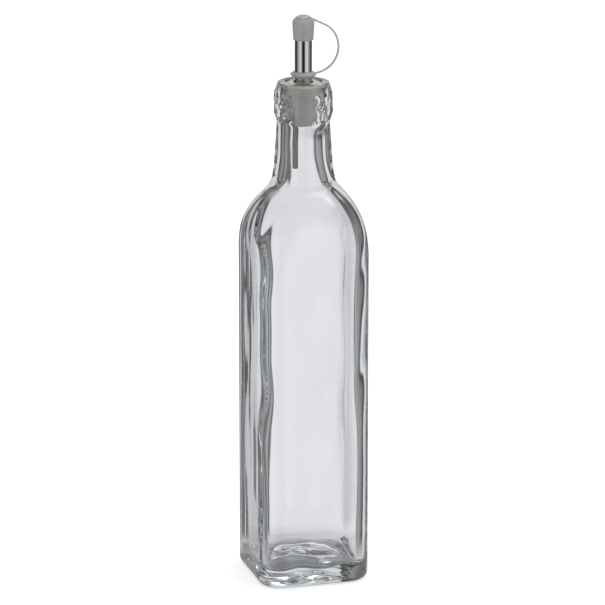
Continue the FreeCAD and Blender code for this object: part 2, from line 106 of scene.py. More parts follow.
def arc_steps(centre, radius, start, end, count):
    """Points on an arc in the plane of radius and height, after its start."""
    return [(centre[0] + radius * cos(turn), centre[1] + radius * sin(turn))
            for turn in steps(start, end, count)]


def upright_arc(foot, top, count, foot_upright=True):
    """Points on the arc between two points, which is upright at its foot, or else at its top."""
    width, height = top[0] - foot[0], top[1] - foot[1]
    radius = (width ** 2 + height ** 2) / (2 * abs(width))
    side = 1 if width > 0 else -1
    points = []
    for share in steps(0, 1, count):
        rise = height * share
        bend = radius - sqrt(radius ** 2 - (rise if foot_upright else height - rise) ** 2)
        across = foot[0] + side * bend if foot_upright else top[0] - side * bend
        points.append((across, foot[1] + rise))
    return points


def domed(radii, edge, rise):
    """(radius, height) of points on a shallow dome that is rise high over a rim of radius edge."""
    curve = (edge ** 2 + rise ** 2) / (2 * rise)
    return [(r, rise - curve + sqrt(curve ** 2 - r ** 2)) for r in radii]


def soft_meeting(arc, neck, full, softness):
    """Where a shoulder arc runs softly into the neck, without moving the wall below it."""
    return (arc + neck + sqrt((arc - neck) ** 2 + softness ** 2)
            + (full - neck) - sqrt((full - neck) ** 2 + softness ** 2)) / 2


def shoulder_section(z, inset, half, corner, neck_radius, softness):
    """Half side and corner radius of the square-to-round wall at a height."""
    neck = neck_radius + (NECK_FOOT - z) * NECK_TAPER
    diagonal = (half - corner) * sqrt(2) + corner
    widths = []
    for full, start, reach, rise in ((half, SHOULDER, SHOULDER_REACH, SHOULDER_RISE),
                                     (diagonal, FADE, FADE_REACH, FADE_RISE)):
        climbed = min(1, max(0, (z - start) / (rise - inset)))
        arc = full - (reach - inset) * (1 - sqrt(1 - climbed ** 2))
        widths.append(soft_meeting(arc, neck, full, softness))
    flat, diagonal = widths
    radius = (flat * sqrt(2) - max(diagonal, flat)) / (sqrt(2) - 1)
    return flat, min(flat, max(0, radius))


def outside_rings():
    """(height, half side, corner radius) of the rings up the outside, from the punt to the lip."""
    rings = [(z, r, r) for r, z in
             domed([TIP] + steps(0, PUNT_RADIUS, 14), PUNT_RADIUS, PUNT_HEIGHT)]
    for share in [0] + steps(0, 1, 7)[:-1]:
        half, corner = (end * share + (PUNT_RADIUS + PUNT_EDGE) * (1 - share)
                        for end in (HALF_SIDE - HEEL, CORNER - HEEL))
        rings.append((FOOT_HOLLOW * sin(pi * share), half, min(half, corner)))
    for turn in [0] + steps(0, pi / 2, 12):
        tuck = HEEL * (1 - sin(turn))
        rings.append((HEEL * (1 - cos(turn)), HALF_SIDE - tuck, CORNER - tuck))
    for z in steps(HEEL, FADE, 50) + steps(FADE, NECK_FOOT, 48):
        rings.append((z, *shoulder_section(z, 0, HALF_SIDE, CORNER, NECK_FOOT_RADIUS,
                                           ROOT_SOFTNESS)))
    neck_radius = rings[-1][1]
    neck_top = (neck_radius - NECK_TAPER * (BEAD_FOOT - NECK_FOOT), BEAD_FOOT)
    flare_middle = ((neck_top[0] + BEAD_RADIUS) / 2, BEAD_FOOT + FLARE_HEIGHT / 2)
    flare_top = (BEAD_RADIUS, BEAD_FOOT + FLARE_HEIGHT)
    profile = [(part_way(neck_radius, neck_top[0], share), part_way(NECK_FOOT, BEAD_FOOT, share))
               for share in steps(0, 1, 16)]
    profile += upright_arc(neck_top, flare_middle, 7)
    profile += upright_arc(flare_middle, flare_top, 7, foot_upright=False)
    profile += [(BEAD_RADIUS - WAIST_DEPTH * sin(pi * share) ** 2,
                 flare_top[1] + WAIST_HEIGHT * share) for share in steps(0, 1, 12)]
    profile += upright_arc(profile[-1], (LIP_RADIUS, GLASS_HEIGHT - LIP_EDGE), 12)
    profile += arc_steps((LIP_RADIUS - LIP_EDGE, GLASS_HEIGHT - LIP_EDGE), LIP_EDGE,
                         0.2, pi / 2, 5)
    return rings + [(z, r, r) for r, z in profile]


def inside_rings():
    """(height, half side, corner radius, share of waves) of the rings from mouth to floor."""
    half, softness = HALF_SIDE - WALL, ROOT_SOFTNESS + WALL
    rings = [(z, r, r, 0) for r, z in arc_steps((BORE + MOUTH_EDGE, GLASS_HEIGHT - MOUTH_EDGE),
                                                MOUTH_EDGE, pi / 2, pi, 6)]
    bore_foot = shoulder_section(NECK_FOOT, WALL, half, INNER_CORNER, BORE, softness)[0]
    for share in steps(0, 1, 60):
        radius = part_way(BORE, bore_foot, share)
        rings.append((part_way(GLASS_HEIGHT - MOUTH_EDGE, NECK_FOOT, share), radius, radius, 1))
    for z in steps(NECK_FOOT, FADE, 44) + steps(FADE, FLOOR + FLOOR_EDGE, 84):
        rings.append((z, *shoulder_section(z, WALL, half, INNER_CORNER, BORE, softness), 1))
    for turn in steps(0, pi / 2, 10):
        tuck = FLOOR_EDGE * (1 - cos(turn))
        rings.append((FLOOR + FLOOR_EDGE * (1 - sin(turn)), half - tuck, INNER_CORNER - tuck,
                      cos(turn)))
    return rings + [(FLOOR + z, r, r, 0) for r, z in
                    domed(steps(CROWN_RADIUS, TIP, 12), CROWN_RADIUS, CROWN_HEIGHT)]


def eased(rings):
    """The same rings, with the bend where the shoulder runs into the neck smoothed out."""
    for _ in range(EASED_PASSES):
        before = list(rings)
        for index in range(1, len(rings) - 1):
            z, half, corner, *share = before[index]
            if abs(z - NECK_FOOT) < EASED_REACH:
                last, after = before[index - 1], before[index + 1]
                rings[index] = (z, (last[1] + 2 * half + after[1]) / 4,
                                (last[2] + 2 * corner + after[2]) / 4, *share)
    return rings


def between(z, low, high, softness, high_softness=None):
    """1 between two heights, fading softly to 0 past each."""
    below = 1 + exp((low - z) / softness)
    above = 1 + exp((z - high) / (high_softness or softness))
    return 1 / below / above


# In the next three functions, the length that a height or a place is divided by is the size of a
# wave. A factor on around sets how fine the waves are round the bottle, and the numbers beside the
# height only pick a place in the noise.
def outer_ripple(angle, z):
    """How far the bead's skin sinks: it was shaped by hand tools, so it is not quite even."""
    around = Vector((cos(angle), sin(angle), 0)) * 1.5
    ripple = noise.noise(around + Vector((4, 9, z / (3.1 * MM))))
    ripple += 0.6 * noise.noise(around * 2.6 - Vector((3, 1, z / (2.2 * MM))))
    bead = between(z, BEAD_FOOT + 3.5 * MM, GLASS_HEIGHT - 2.5 * MM, 0.6 * MM)
    return -BEAD_SINK * bead * (1 + ripple)


def floor_lift(x, y, z):
    """How far the floor's inside stands off its true height: it set in soft hills and hollows."""
    hills = noise.noise(Vector((x, y, 2 * MM)) / (14 * MM))
    hills += 0.12 * noise.noise(Vector((x, y, 5 * MM)) / (6 * MM))
    return FLOOR_HILLS * hills * between(z, -1, FLOOR + 4 * MM, 0.8 * MM)


def inner_wave(angle, z):
    """How far the blown inside stands off its true place.

    Long waves run down the wall. The neck's bore is tighter and a little off the middle, and the
    bead's is rippled. Each corner keeps a ridge of glass, which wanders a little as it climbs.
    """
    around = Vector((cos(angle), sin(angle), 0)) * 2.2
    body = between(z, -1, NECK_FOOT - 14 * MM, 6 * MM)
    wave = body * (LONG_WAVE * noise.noise(around + Vector((0, 0, z / (45 * MM))))
                   + SHORT_WAVE * noise.noise(around * 2.6 + Vector((7, 3, z / (28 * MM)))))
    neck = between(z, NECK_FOOT - 4 * MM, BEAD_FOOT - 4 * MM, 5 * MM, 1.6 * MM)
    wave -= neck * (NECK_GLASS + NECK_LEAN * cos(angle - THICK_SIDE))
    bead = between(z, BEAD_FOOT + 1 * MM, GLASS_HEIGHT - 8 * MM, 0.6 * MM)
    wave += BORE_RIPPLE * bead * noise.noise(around * 1.3 + Vector((2, 5, z / (3.2 * MM))))
    corner = round((angle - pi / 4) / (pi / 2)) % 4
    lean, thickness, spread = CORNER_GLASS[corner]
    drift = CORNER_DRIFT * noise.noise(Vector((corner * 5.3 + 0.5, 1.7, z / (22 * MM))))
    ridge = pi / 4 + corner * pi / 2 + lean + drift
    off = ((angle - ridge + pi) % (2 * pi) - pi) / spread
    thickness *= THIN_END + (1 - THIN_END) * between(z, RIDGE_FOOT, RIDGE_TOP, 5 * MM)
    return MM * (wave - body * thickness * exp(-off ** 2))


def reach_at(angle, half, corner):
    """Distance from the axis to a rounded square, in the direction of an angle."""
    folded = abs((angle + pi / 4) % (pi / 2) - pi / 4)
    flat = half - corner
    if half * tan(folded) <= flat:
        return half / cos(folded)
    across = flat * (cos(folded) - sin(folded))
    return flat * (cos(folded) + sin(folded)) + sqrt(max(0, corner ** 2 - across ** 2))


def section_point(z, angle, half, corner, share=None):
    """A point of a ring. An inside ring gives its share of the inner waves, an outside one none."""
    wave = outer_ripple(angle, z) if share is None else share * inner_wave(angle, z)
    reach = reach_at(angle, half, corner) + wave
    point = Vector((reach * cos(angle), reach * sin(angle), z))
    if share is not None:
        point.z += floor_lift(point.x, point.y, z)
    elif half < HALF_SIDE - HEEL and z < 2 * PUNT_HEIGHT:
        point.z *= 1 + PUNT_RIPPLE * noise.noise(point / (9 * MM))
    return point


def finished(name, bm):
    """The bmesh as a smooth object of the scene."""
    mesh = bpy.data.meshes.new(name)
    bm.to_mesh(mesh)
    bm.free()
    mesh.shade_smooth()
    piece = bpy.data.objects.new(name, mesh)
    scene.collection.objects.link(piece)
    return piece


def skin_through(name, rings):
    """One closed skin: each ring is extruded from the last and set in its own place."""
    bm = bmesh.new()
    turns = [2 * pi * index / AROUND for index in range(AROUND)]
    angles = [turn + CORNER_CROWDING * sin(4 * turn) / 4 for turn in turns]
    loop = bmesh.ops.create_circle(bm, segments=AROUND, radius=1)["verts"]
    edges = list(bm.edges)
    for number, (z, *section) in enumerate(rings):
        if number:
            grown = bmesh.ops.extrude_edge_only(bm, edges=edges)["geom"]
            new = {item for item in grown if isinstance(item, bmesh.types.BMVert)}
            edges = [item for item in grown
                     if isinstance(item, bmesh.types.BMEdge) and new.issuperset(item.verts)]
            loop = [next(edge.other_vert(v) for edge in v.link_edges if edge.other_vert(v) in new)
                    for v in loop]
        for v, angle in zip(loop, angles):
            v.co = section_point(z, angle, *section)
        if number in (0, len(rings) - 1):
            grown = bmesh.ops.extrude_edge_only(bm, edges=edges)["geom"]
            tip = [item for item in grown if isinstance(item, bmesh.types.BMVert)]
            middle = sum((v.co for v in loop), Vector()) / AROUND
            bmesh.ops.pointmerge(bm, verts=tip, merge_co=middle)
    bmesh.ops.recalc_face_normals(bm, faces=bm.faces)
    return finished(name, bm)


def linear(colour):
    """An sRGB hex colour as the linear values that a shader takes."""
    parts = [int(colour[place:place + 2], 16) / 255 for place in (1, 3, 5)]
    return (*[part / 12.92 if part <= 0.04045 else ((part + 0.055) / 1.055) ** 2.4
              for part in parts], 1)


RGBA = {"data_type": "RGBA"}              # the setting of a Mix node that mixes colours


def add_node(tree, kind, settings=(), **links):
    """Adds a node with its settings. A link names an input, or gives _ and its number, and holds
    a value for it or a socket to join to it."""
    node = tree.nodes.new("ShaderNode" + kind)
    for key, value in dict(settings).items():
        setattr(node, key, value)
    for key, value in links.items():
        socket = node.inputs[int(key[1:]) if key[0] == "_" else key.replace("_", " ")]
        if isinstance(value, bpy.types.NodeSocket):
            tree.links.new(value, socket)
        else:
            socket.default_value = value
    return node


def new_material(name):
    """An empty material, its node tree and its output node."""
    material = bpy.data.materials.new(name)
    material.use_nodes = True
    material.node_tree.nodes.clear()
    return material, material.node_tree, add_node(material.node_tree, "OutputMaterial")


# Soda-lime glass, fire-polished after the mould. To the eye it is colourless, with a breath of
# grey-blue in its thick places, and smooth, with the faint orange peel that a mould leaves.
def soda_lime_glass():
    material, tree, output = new_material("Soda-lime glass, mould-blown")
    place = add_node(tree, "TexCoord").outputs["Object"]
    peel = add_node(tree, "TexNoise", Vector=place, Scale=1 / (9 * MM), Detail=2.0, Roughness=0.4)
    bump = add_node(tree, "Bump", Height=peel.outputs["Fac"], Strength=0.12, Distance=0.12 * MM)
    stretch = add_node(tree, "Mapping", Vector=place, Scale=(1, 1, 0.3))
    cloud = add_node(tree, "TexNoise", Vector=stretch.outputs["Vector"], Scale=1 / (14 * MM),
                     Detail=2.0)
    cloudy = add_node(tree, "MapRange", Value=cloud.outputs["Fac"], From_Min=0.35, From_Max=0.65)
    colour = add_node(tree, "Mix", RGBA, _0=cloudy.outputs["Result"], _6=linear("#f8f9fd"),
                      _7=linear("#fefeff"))
    glass = add_node(tree, "BsdfPrincipled", Base_Color=colour.outputs["Result"], Roughness=0.0,
                     IOR=1.5, Transmission_Weight=1.0, Normal=bump.outputs["Normal"])
    tint = add_node(tree, "VolumeAbsorption", Color=linear("#c9d2d3"), Density=7.0)
    tree.links.new(glass.outputs["BSDF"], output.inputs["Surface"])
    tree.links.new(tint.outputs["Volume"], output.inputs["Volume"])
    return material


bottle = skin_through("bottle", eased(outside_rings()) + eased(inside_rings()))
bottle.data.materials.append(soda_lime_glass())
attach(bottle, "root")
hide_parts("glass_bottle")

# --------------------------------------------------------------------------------------- stopper
# One moulding of natural polythene, milky and slightly yellow. Its head is pressed into the mouth,
# where a fine lip at its top seals against the glass, and two narrower steps hang in the bore. The
# spout's tail is pushed into it from above, and the air tube from below.
PLUG_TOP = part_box("stopper")[1][2]
PLUG_FOOT = PLUG_TOP - 20 * MM
MIDDLE_FOOT, HEAD_FOOT = PLUG_TOP - 11 * MM, PLUG_TOP - 4.6 * MM
TAIL_RADIUS, MIDDLE_RADIUS, HEAD_RADIUS = 5.95 * MM, 6.3 * MM, BORE - 0.08 * MM
TAIL_DRAFT, HEAD_CHAMFER = 0.3 * MM, 0.9 * MM
SEAL, SEAL_HEIGHT = 0.12 * MM, 1.3 * MM
SOCKET_RADIUS, SOCKET_FLOOR = 3.69 * MM, PLUG_TOP - 8.2 * MM
EDGE = 0.08 * MM                          # how far a plain moulded or cut edge is rounded off
SHARP = radians(35)                       # an edge that turns further than this shades sharp
SPACING = 1.2 * MM                        # longest step along a turned outline

# The stopper's holes: where each lies along X, its radius, its foot and its top.
UNDER_PLUG, IN_SOCKET = PLUG_FOOT - 1 * MM, SOCKET_FLOOR + 0.05 * MM
POUR_CHANNEL = (1.85 * MM, 2.7 * MM, UNDER_PLUG, IN_SOCKET)
AIR_HOLE = (-4.05 * MM, 1.54 * MM, UNDER_PLUG, PLUG_FOOT + 9.8 * MM)
VENT = (-2.6 * MM, 0.7 * MM, PLUG_FOOT + 9 * MM, IN_SOCKET)


def rounded(corner, before, after, radius, count=4):
    """A corner of an outline, rounded off: points on the curve between its two sides."""
    corner, before, after = (Vector((*point, 0)) for point in (corner, before, after))
    start = corner + (before - corner).normalized() * radius
    end = corner + (after - corner).normalized() * radius
    bend = []
    for part in range(count + 1):
        t = part / count
        point = start * (1 - t) ** 2 + corner * 2 * t * (1 - t) + end * t ** 2
        bend.append((point.x, point.y))
    return bend


def softened(outline, radius):
    """The outline with each corner that isn't on the axis rounded off."""
    soft = []
    for index, point in enumerate(outline):
        if point[0] == 0:
            soft.append(point)
        else:
            after = outline[(index + 1) % len(outline)]
            soft += rounded(point, outline[index - 1], after, radius)
    return soft


def turned(profile, segments=96):
    """An outline of radius and height, finely divided, spun round the Z axis. One that starts and
    ends on the axis is left open there."""
    bm = bmesh.new()
    closed = profile[0][0] > 0
    points = []
    for start, end in zip(profile, profile[1:] + profile[:1]):
        across, up = end[0] - start[0], end[1] - start[1]
        inner = closed or end is not profile[0]
        pieces = max(1, round(sqrt(across ** 2 + up ** 2) / SPACING)) if inner else 1
        points += [(start[0] + across * part / pieces, start[1] + up * part / pieces)
                   for part in range(pieces)]
    verts = [bm.verts.new((radius, 0, z)) for radius, z in points]
    pairs = zip(verts, verts[1:] + (verts[:1] if closed else []))
    edges = [bm.edges.new(pair) for pair in pairs]
    bmesh.ops.spin(bm, geom=verts + edges, axis=(0, 0, 1), cent=(0, 0, 0), steps=segments,
                   angle=2 * pi, use_merge=True)
    bmesh.ops.remove_doubles(bm, verts=bm.verts, dist=0.0005 * MM)
    bmesh.ops.recalc_face_normals(bm, faces=bm.faces)
    return bm


def bored(piece, x, radius, low, high):
    """Drills an upright hole."""
    bm = bmesh.new()
    bmesh.ops.create_cone(bm, cap_ends=True, segments=48, radius1=radius, radius2=radius,
                          depth=high - low)
    bmesh.ops.translate(bm, verts=bm.verts, vec=(x, 0, (low + high) / 2))
    drill = finished("drill", bm)
    cut = piece.modifiers.new("bore", "BOOLEAN")
    cut.object, cut.operation, cut.solver = drill, "DIFFERENCE", "EXACT"
    bpy.context.view_layer.update()
    ready = piece.evaluated_get(bpy.context.evaluated_depsgraph_get())
    drilled = bpy.data.meshes.new_from_object(ready)
    piece.modifiers.clear()
    bm = bmesh.new()
    bm.from_mesh(drilled)
    bmesh.ops.remove_doubles(bm, verts=bm.verts, dist=0.003 * MM)
    bmesh.ops.dissolve_degenerate(bm, edges=bm.edges, dist=0.003 * MM)
    bm.to_mesh(drilled)
    bm.free()
    piece.data = drilled
    bpy.data.objects.remove(drill)


def placed(piece, node, material, angle=SHARP):
    """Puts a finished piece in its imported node's place, with its real edges sharp."""
    piece.data.set_sharp_from_angle(angle=angle)
    piece.data.materials.clear()
    piece.data.materials.append(material)
    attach(piece, "root")
    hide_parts(node)


def moulded_skin(tree, cloud_size, grain_size, relief, darker, lighter):
    """Colour and normal of a moulding: faint clouds in its colour, and the mould's fine grain,
    which is drawn coarser than the real one so that it can show."""
    place = add_node(tree, "TexCoord").outputs["Object"]
    cloud = add_node(tree, "TexNoise", Vector=place, Scale=1 / cloud_size, Detail=2.0)
    grain = add_node(tree, "TexNoise", Vector=place, Scale=1 / grain_size, Detail=2.0)
    colour = add_node(tree, "Mix", RGBA, _0=cloud.outputs["Fac"], _6=linear(darker),
                      _7=linear(lighter))
    bump = add_node(tree, "Bump", Height=grain.outputs["Fac"], Strength=relief,
                    Distance=0.02 * MM)
    return colour.outputs["Result"], bump.outputs["Normal"]


# Natural polythene lets light in a little way, so it looks soft, and its skin is dull from the
# mould.
def natural_polythene():
    material, tree, output = new_material("Polythene, moulded, natural")
    colour, normal = moulded_skin(tree, 5 * MM, 0.3 * MM, 0.2, "#e2e0d8", "#ecebe4")
    plastic = add_node(tree, "BsdfPrincipled", Base_Color=colour, Roughness=0.36, IOR=1.51,
                       Transmission_Weight=0.2, Subsurface_Weight=0.9,
                       Subsurface_Radius=(1.0, 0.95, 0.85), Subsurface_Scale=3 * MM,
                       Normal=normal)
    tree.links.new(plastic.outputs["BSDF"], output.inputs["Surface"])
    return material


stopper = finished("stopper", turned(softened([
    (0, PLUG_FOOT), (TAIL_RADIUS - TAIL_DRAFT, PLUG_FOOT), (TAIL_RADIUS, MIDDLE_FOOT),
    (MIDDLE_RADIUS, MIDDLE_FOOT), (MIDDLE_RADIUS, HEAD_FOOT),
    (HEAD_RADIUS - HEAD_CHAMFER, HEAD_FOOT), (HEAD_RADIUS, HEAD_FOOT + HEAD_CHAMFER),
    (HEAD_RADIUS, PLUG_TOP - SEAL_HEIGHT), (HEAD_RADIUS + SEAL, PLUG_TOP - SEAL_HEIGHT + SEAL),
    (HEAD_RADIUS + SEAL, PLUG_TOP), (SOCKET_RADIUS, PLUG_TOP), (SOCKET_RADIUS, SOCKET_FLOOR),
    (0, SOCKET_FLOOR)], EDGE)))
for hole in (POUR_CHANNEL, AIR_HOLE, VENT):
    bored(stopper, *hole)
placed(stopper, "stopper", natural_polythene())

# --------------------------------------------------------------------------------- pouring spout
# A thin tube of stainless steel with a collar rolled into it, drawn and then polished along its
# length. Its tail is pushed into the stopper's socket, and the collar stands just above the
# stopper.
SPOUT_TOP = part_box("pour_spout")[1][2]
TUBE_RADIUS, TAIL, SHEET = 4.5 * MM, 3.65 * MM, 0.5 * MM
TUBE_BORE, TAIL_BORE = TUBE_RADIUS - SHEET, TAIL - SHEET
COLLAR_FOOT, COLLAR, COLLAR_HEIGHT = PLUG_TOP + 1.3 * MM, 5.4 * MM, 2.0 * MM
TAIL_TOP = COLLAR_FOOT - 0.9 * MM         # the tube narrows to its tail between here and the collar
POURING_EDGE = 0.2 * MM


# Stainless steel is bright grey, with reflections drawn out along the tube by the fine lines that
# drawing leaves. The lines are coarser than the real ones so that they can show.
def stainless_steel(finish, colour, smoothest, roughest):
    material, tree, output = new_material("Stainless steel, " + finish)
    place = add_node(tree, "TexCoord").outputs["Object"]
    stretch = add_node(tree, "Mapping", Vector=place, Scale=(1, 1, 0.02))
    lines = add_node(tree, "TexNoise", Vector=stretch.outputs["Vector"], Scale=1 / (0.35 * MM),
                     Detail=3.0)
    rough = add_node(tree, "MapRange", Value=lines.outputs["Fac"], To_Min=smoothest,
                     To_Max=roughest)
    steel = add_node(tree, "BsdfPrincipled", Base_Color=linear(colour), Metallic=1.0,
                     Roughness=rough.outputs["Result"])
    tree.links.new(steel.outputs["BSDF"], output.inputs["Surface"])
    return material


collar = [(part_way(TUBE_RADIUS, COLLAR, sin(pi * share)), COLLAR_FOOT + COLLAR_HEIGHT * share)
          for share in steps(0, 1, 16)]
spout = finished("spout", turned([
    (TAIL_BORE, SOCKET_FLOOR), (TAIL, SOCKET_FLOOR), (TAIL, TAIL_TOP), (TUBE_RADIUS, COLLAR_FOOT),
    *collar, (TUBE_RADIUS, SPOUT_TOP - POURING_EDGE), (TUBE_RADIUS - POURING_EDGE, SPOUT_TOP),
    (TUBE_BORE + POURING_EDGE, SPOUT_TOP), (TUBE_BORE, SPOUT_TOP - POURING_EDGE),
    (TUBE_BORE, COLLAR_FOOT), (TAIL_BORE, TAIL_TOP)]))
placed(spout, "pour_spout",
       stainless_steel("drawn and polished", "#c9c7c3", 0.1, 0.2))

# -------------------------------------------------------------------------------------- air tube
# A short length of fine stainless tube, cut square and deburred, and pushed into the stopper's
# underside. Air comes in through it while the bottle pours.
tube_low, tube_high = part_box("air_tube")
AIR_TUBE_X = (tube_low[0] + tube_high[0]) / 2
AIR_TUBE_RADIUS, AIR_TUBE_WALL = 1.5 * MM, 0.35 * MM

bm = turned(softened([
    (AIR_TUBE_RADIUS - AIR_TUBE_WALL, tube_low[2]), (AIR_TUBE_RADIUS, tube_low[2]),
    (AIR_TUBE_RADIUS, tube_high[2]), (AIR_TUBE_RADIUS - AIR_TUBE_WALL, tube_high[2])], EDGE), 48)
bmesh.ops.translate(bm, verts=bm.verts, vec=(AIR_TUBE_X, 0, 0))
breather = finished("breather", bm)
placed(breather, "air_tube",
       stainless_steel("drawn, left dull", "#73716d", 0.14, 0.24))

# ---------------------------------------------------------------------------------- tethered cap
# The cap, its strap and its ring are one moulding of soft grey silicone rubber. The cap is pushed
# over the spout's end and has a domed top above a fine groove. The thin strap springs out in a
# loop, and the ring grips the spout just above its collar.
cap_low, cap_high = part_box("tether_cap")
CAP_RIM, CAP_TOP = SPOUT_TOP - 9.5 * MM, SPOUT_TOP + 2 * MM
CAP_SHOULDER = CAP_TOP - 3 * MM
CAP_BORE, CAP_WIDTH, CAP_NECK = 4.54 * MM, 5.79 * MM, 4.19 * MM
RIM_WALL, RIM_EDGE = 0.75 * MM, 0.15 * MM
GROOVE_FLOOR, GROOVE = 3.76 * MM, 0.25 * MM
PLATE_FOOT, PLATE_RADIUS = CAP_TOP + GROOVE, 4.31 * MM    # the domed plate above the groove
RING_FOOT, RING_TOP = cap_low[2], cap_low[2] + 3.5 * MM
RING_RADIUS, RING_END = 6.8 * MM, CAP_BORE + 0.5 * MM
BELLY_FOOT, BELLY_TOP = RING_FOOT + 1.6 * MM, RING_FOOT + 2.3 * MM    # the ring's widest part
RING_EDGE = 0.12 * MM
STRAP_TOP = (3.6 * MM, cap_high[2] - 1.3 * MM)
STRAP_FOOT = (RING_RADIUS - 0.8 * MM, RING_FOOT + 1.4 * MM)
STRAP_RADIUS, STRAP_THICK, STRAP_WIDE = 13.9 * MM, 1.1 * MM, 1.4 * MM
TOP_SLOPE, FOOT_SLOPE = radians(26), radians(10)
SQUARENESS = 0.35                         # 0 gives the strap a round section, and 1 a square one


def strap_path():
    """Points on the strap's outer line in X and Z, and the way each faces: straight off the cap,
    round the loop and straight on to the ring."""
    top = STRAP_TOP[0] * sin(TOP_SLOPE) + STRAP_TOP[1] * cos(TOP_SLOPE) - STRAP_RADIUS
    foot = STRAP_FOOT[0] * sin(FOOT_SLOPE) - STRAP_FOOT[1] * cos(FOOT_SLOPE) - STRAP_RADIUS
    both = sin(TOP_SLOPE + FOOT_SLOPE)
    centre = ((top * cos(FOOT_SLOPE) + foot * cos(TOP_SLOPE)) / both,
              (top * sin(FOOT_SLOPE) - foot * sin(TOP_SLOPE)) / both)
    first, last = pi / 2 - TOP_SLOPE, FOOT_SLOPE - pi / 2
    loop = arc_steps(centre, STRAP_RADIUS, first, last, 72)
    return [(STRAP_TOP, first), *zip(loop, steps(first, last, 72)), (STRAP_FOOT, last)]


def strap_form():
    """The strap, swept along its line with softly rounded edges."""
    bm = bmesh.new()
    bmesh.ops.create_circle(bm, cap_ends=True, segments=20, radius=1)
    section = [(vert.co.x, vert.co.y) for vert in bm.verts]
    face = bm.faces[:][0]
    for number, ((x, z), turn) in enumerate(strap_path()):
        if number:
            grown = bmesh.ops.extrude_face_region(bm, geom=[face])["geom"]
            if number > 1:
                bmesh.ops.delete(bm, geom=[face], context="FACES_ONLY")
            face = next(item for item in grown if isinstance(item, bmesh.types.BMFace))
        for vert, (across, out) in zip(face.verts, section):
            square = max(abs(across), abs(out)) ** SQUARENESS
            depth = (out / square - 1) * STRAP_THICK / 2
            vert.co = (x + depth * cos(turn), across / square * STRAP_WIDE / 2,
                       z + depth * sin(turn))
    bmesh.ops.recalc_face_normals(bm, faces=bm.faces)
    return bm


def joined(name, forms):
    """Several closed forms as one mesh."""
    bm = bmesh.new()
    for form in forms:
        mesh = bpy.data.meshes.new("form")
        form.to_mesh(mesh)
        form.free()
        bm.from_mesh(mesh)
        bpy.data.meshes.remove(mesh)
    return finished(name, bm)


# Grey silicone rubber is slightly see-through, so the steel inside shows softly in it, and its
# smooth skin has a soft shine.
def grey_silicone():
    material, tree, output = new_material("Silicone rubber, moulded, grey")
    colour, normal = moulded_skin(tree, 4 * MM, 0.25 * MM, 0.15, "#d0d0d3", "#dadadc")
    rubber = add_node(tree, "BsdfPrincipled", Base_Color=colour, Roughness=0.15, IOR=1.41,
                      Transmission_Weight=0.5, Normal=normal)
    tree.links.new(rubber.outputs["BSDF"], output.inputs["Surface"])
    return material


dome = [(r, PLATE_FOOT + z) for r, z in
        domed(steps(PLATE_RADIUS, 0, 10), PLATE_RADIUS, cap_high[2] - PLATE_FOOT)]
cap_form = turned([
    (0, SPOUT_TOP), (CAP_BORE, SPOUT_TOP), (CAP_BORE, CAP_RIM),
    (CAP_BORE + RIM_WALL - RIM_EDGE, CAP_RIM), (CAP_BORE + RIM_WALL, CAP_RIM + RIM_EDGE),
    (CAP_WIDTH, CAP_SHOULDER), *upright_arc((CAP_WIDTH, CAP_SHOULDER), (CAP_NECK, CAP_TOP), 10),
    (GROOVE_FLOOR, CAP_TOP), (GROOVE_FLOOR, PLATE_FOOT), (PLATE_RADIUS, PLATE_FOOT), *dome])
ring_form = turned(softened([
    (CAP_BORE, RING_FOOT), (RING_END, RING_FOOT), (RING_RADIUS, BELLY_FOOT),
    (RING_RADIUS, BELLY_TOP), (RING_END, RING_TOP), (CAP_BORE, RING_TOP)], RING_EDGE))
cap = joined("cap", (cap_form, strap_form(), ring_form))
placed(cap, "tether_cap", grey_silicone(), radians(50))

# ------------------------------------------------------------------------------ table and studio
# The bottle stands on a plain white table in a white studio with dark panels, which draw the edges
# of the glass. Glass and metal see the studio in the table's place, except close to the foot.
TABLE_REACH = 6
TABLE_GLOW = 0.55
FOOT_SEES, FOOT_SEES_END = 50 * MM, 80 * MM    # the glass sees the table as far as this
CAMERA_TURN, CAMERA_TILT = radians(-15.84), radians(15.56)
CAMERA_DISTANCE, AIM_LEFT, AIM_HEIGHT = 2049.5, 0.45 * MM, 147.5 * MM    # the distance is in mm
LAMP_PLACE, LAMP_AIM = (0.5, 0.2, 1.6), Vector((0, 0, 0.1))
LAMP_SIDE, LAMP_POWER = 1.2, 9
BOUNCES, CLEAR_BOUNCES = 48, 16

# How bright the studio's wall is, at degrees to the right of its far side: first as the glass
# shows what is behind it, then as it is mirrored.
BEHIND_GLASS = ((-180, 0.72), (-100, 0.72), (-80, 0.35), (-60, 0.14), (-45, 0.28), (-30, 0.14),
                (-18, 0.06), (-11, 0.84), (20, 0.84), (31, 0.06), (45, 0.22), (60, 0.3),
                (80, 0.4), (100, 0.72), (180, 0.72))
IN_GLOSS = ((-180, 0.02), (-166, 0.03), (-152, 0.9), (-138, 1.0), (-108, 0.55), (-82, 0.06),
            (-24, 0.1), (-14, 0.9), (20, 0.9), (32, 0.1), (55, 0.06), (74, 0.07), (104, 0.5),
            (132, 1.1), (152, 0.9), (164, 0.03), (180, 0.02))
# The heights where each fades in and out again, and the level beyond them.
BEHIND_GLASS_FADES = (-0.6, -0.34, 0.35, 0.6, 0.35)
IN_GLOSS_FADES = (-0.5, -0.34, 0.3, 0.55, 0.08)


def grey(level):
    """A plain grey as the linear values that a shader takes."""
    return level, level, level, 1


